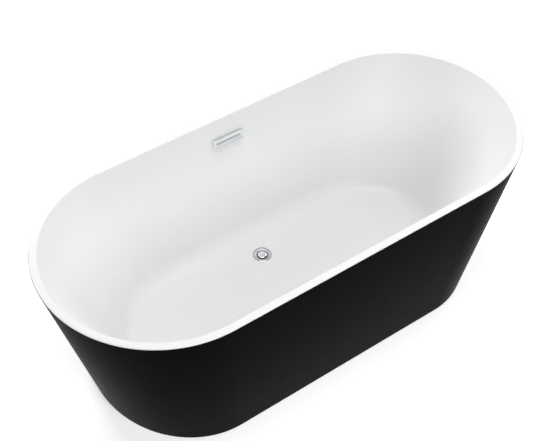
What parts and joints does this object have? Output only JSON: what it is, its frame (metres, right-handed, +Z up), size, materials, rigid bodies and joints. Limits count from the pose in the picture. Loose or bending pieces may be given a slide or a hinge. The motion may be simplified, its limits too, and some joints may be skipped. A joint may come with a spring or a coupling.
{
  "type": "freestanding bathtub",
  "caption": "Freestanding oval bathtub: white basin in a tapered black skirt, with slotted overflow, push-to-open drain stopper and levelling feet under a steel frame.",
  "frame": {"origin": "on the floor, under the middle of the tub", "axes": "+X along the tub, +Y across it towards the overflow, +Z up"},
  "size_m": [1.7, 0.75, 0.58],
  "materials": {
    "white_acrylic": "soft gloss white sanitary acrylic",
    "black_acrylic": "satin black acrylic",
    "fibreglass": "sprayed glass-fibre reinforcement, rough back",
    "bond": "cured adhesive seam",
    "board": "plywood",
    "frame_paint": "powder-coated steel",
    "zinc_steel": "zinc-plated steel",
    "chrome": "polished chrome",
    "black_rubber": "matte rubber",
    "pipe_plastic": "moulded polypropylene",
    "hose_plastic": "ribbed grey polyethylene hose",
    "brass": "turned brass",
    "spring_steel": "stainless spring steel",
    "pad_plastic": "black nylon"
  },
  "bodies": {
    "tub": {"base_board": "board", "basin_fibreglass": "fibreglass", "basin_shell": "white_acrylic", "bracket_bolts": "zinc_steel", "bracket_screws": "zinc_steel", "crossbar_centre": "frame_paint", "crossbar_left": "frame_paint", "crossbar_right": "frame_paint", "drain_bottom_gasket": "black_rubber", "drain_flange": "chrome", "drain_shoe": "pipe_plastic", "drain_top_gasket": "black_rubber", "frame_rail_back": "frame_paint", "frame_rail_front": "frame_paint", "frame_screws": "zinc_steel", "hose_clamps": "spring_steel", "lock_nuts": "zinc_steel", "outer_skirt": "black_acrylic", "overflow_body": "pipe_plastic", "overflow_cover": "chrome", "overflow_gasket": "black_rubber", "overflow_hose": "hose_plastic", "overflow_retainer": "zinc_steel", "overflow_screws": "zinc_steel", "rim_bond": "bond", "skirt_block_1": "board", "skirt_block_2": "board", "skirt_block_3": "board", "skirt_block_4": "board", "skirt_bracket_1": "zinc_steel", "skirt_bracket_2": "zinc_steel", "skirt_bracket_3": "zinc_steel", "skirt_bracket_4": "zinc_steel", "skirt_fibreglass": "fibreglass", "stopper_cartridge": "brass", "stopper_spring": "spring_steel", "tail_nut": "pipe_plastic", "tail_pipe": "chrome", "tail_washer": "black_rubber", "weld_nuts": "zinc_steel"},
    "stopper": {"stopper_cap": "chrome", "stopper_seal": "black_rubber", "stopper_stem": "brass"},
    "foot_1_pad": {"foot_pad_1": "pad_plastic"},
    "foot_1_stud": {"foot_stud_1": "zinc_steel"},
    "foot_2_pad": {"foot_pad_2": "pad_plastic"},
    "foot_2_stud": {"foot_stud_2": "zinc_steel"},
    "foot_3_pad": {"foot_pad_3": "pad_plastic"},
    "foot_3_stud": {"foot_stud_3": "zinc_steel"},
    "foot_4_pad": {"foot_pad_4": "pad_plastic"},
    "foot_4_stud": {"foot_stud_4": "zinc_steel"},
    "foot_5_pad": {"foot_pad_5": "pad_plastic"},
    "foot_5_stud": {"foot_stud_5": "zinc_steel"}
  },
  "joints": [
    {"name": "stopper_lift", "type": "slide", "parent": "tub", "child": "stopper", "axis": [0, 0, 1], "range_m": [0, 0.008], "deforming": ["stopper_spring"]},
    {"name": "foot_1_height", "type": "slide", "parent": "tub", "child": "foot_1_pad", "axis": [0, 0, 1], "range_m": [-0.02, 0]},
    {"name": "foot_1_screw", "type": "hinge", "parent": "foot_1_pad", "child": "foot_1_stud", "pos_m": [-0.38, -0.25, 0.03], "axis": [0, 0, 1], "range_deg": [-4114.29, 0]},
    {"name": "foot_2_height", "type": "slide", "parent": "tub", "child": "foot_2_pad", "axis": [0, 0, 1], "range_m": [-0.02, 0]},
    {"name": "foot_2_screw", "type": "hinge", "parent": "foot_2_pad", "child": "foot_2_stud", "pos_m": [0.38, -0.25, 0.03], "axis": [0, 0, 1], "range_deg": [-4114.29, 0]},
    {"name": "foot_3_height", "type": "slide", "parent": "tub", "child": "foot_3_pad", "axis": [0, 0, 1], "range_m": [-0.02, 0]},
    {"name": "foot_3_screw", "type": "hinge", "parent": "foot_3_pad", "child": "foot_3_stud", "pos_m": [0.38, 0.25, 0.03], "axis": [0, 0, 1], "range_deg": [-4114.29, 0]},
    {"name": "foot_4_height", "type": "slide", "parent": "tub", "child": "foot_4_pad", "axis": [0, 0, 1], "range_m": [-0.02, 0]},
    {"name": "foot_4_screw", "type": "hinge", "parent": "foot_4_pad", "child": "foot_4_stud", "pos_m": [-0.38, 0.25, 0.03], "axis": [0, 0, 1], "range_deg": [-4114.29, 0]},
    {"name": "foot_5_height", "type": "slide", "parent": "tub", "child": "foot_5_pad", "axis": [0, 0, 1], "range_m": [-0.02, 0]},
    {"name": "foot_5_screw", "type": "hinge", "parent": "foot_5_pad", "child": "foot_5_stud", "pos_m": [0, 0, 0.03], "axis": [0, 0, 1], "range_deg": [-4114.29, 0]}
  ],
  "couplings": [
    {"joint": "foot_1_screw", "follows": "foot_1_height", "rad_per_m": 3590.4},
    {"joint": "foot_2_screw", "follows": "foot_2_height", "rad_per_m": 3590.4},
    {"joint": "foot_3_screw", "follows": "foot_3_height", "rad_per_m": 3590.4},
    {"joint": "foot_4_screw", "follows": "foot_4_height", "rad_per_m": 3590.4},
    {"joint": "foot_5_screw", "follows": "foot_5_height", "rad_per_m": 3590.4}
  ]
}
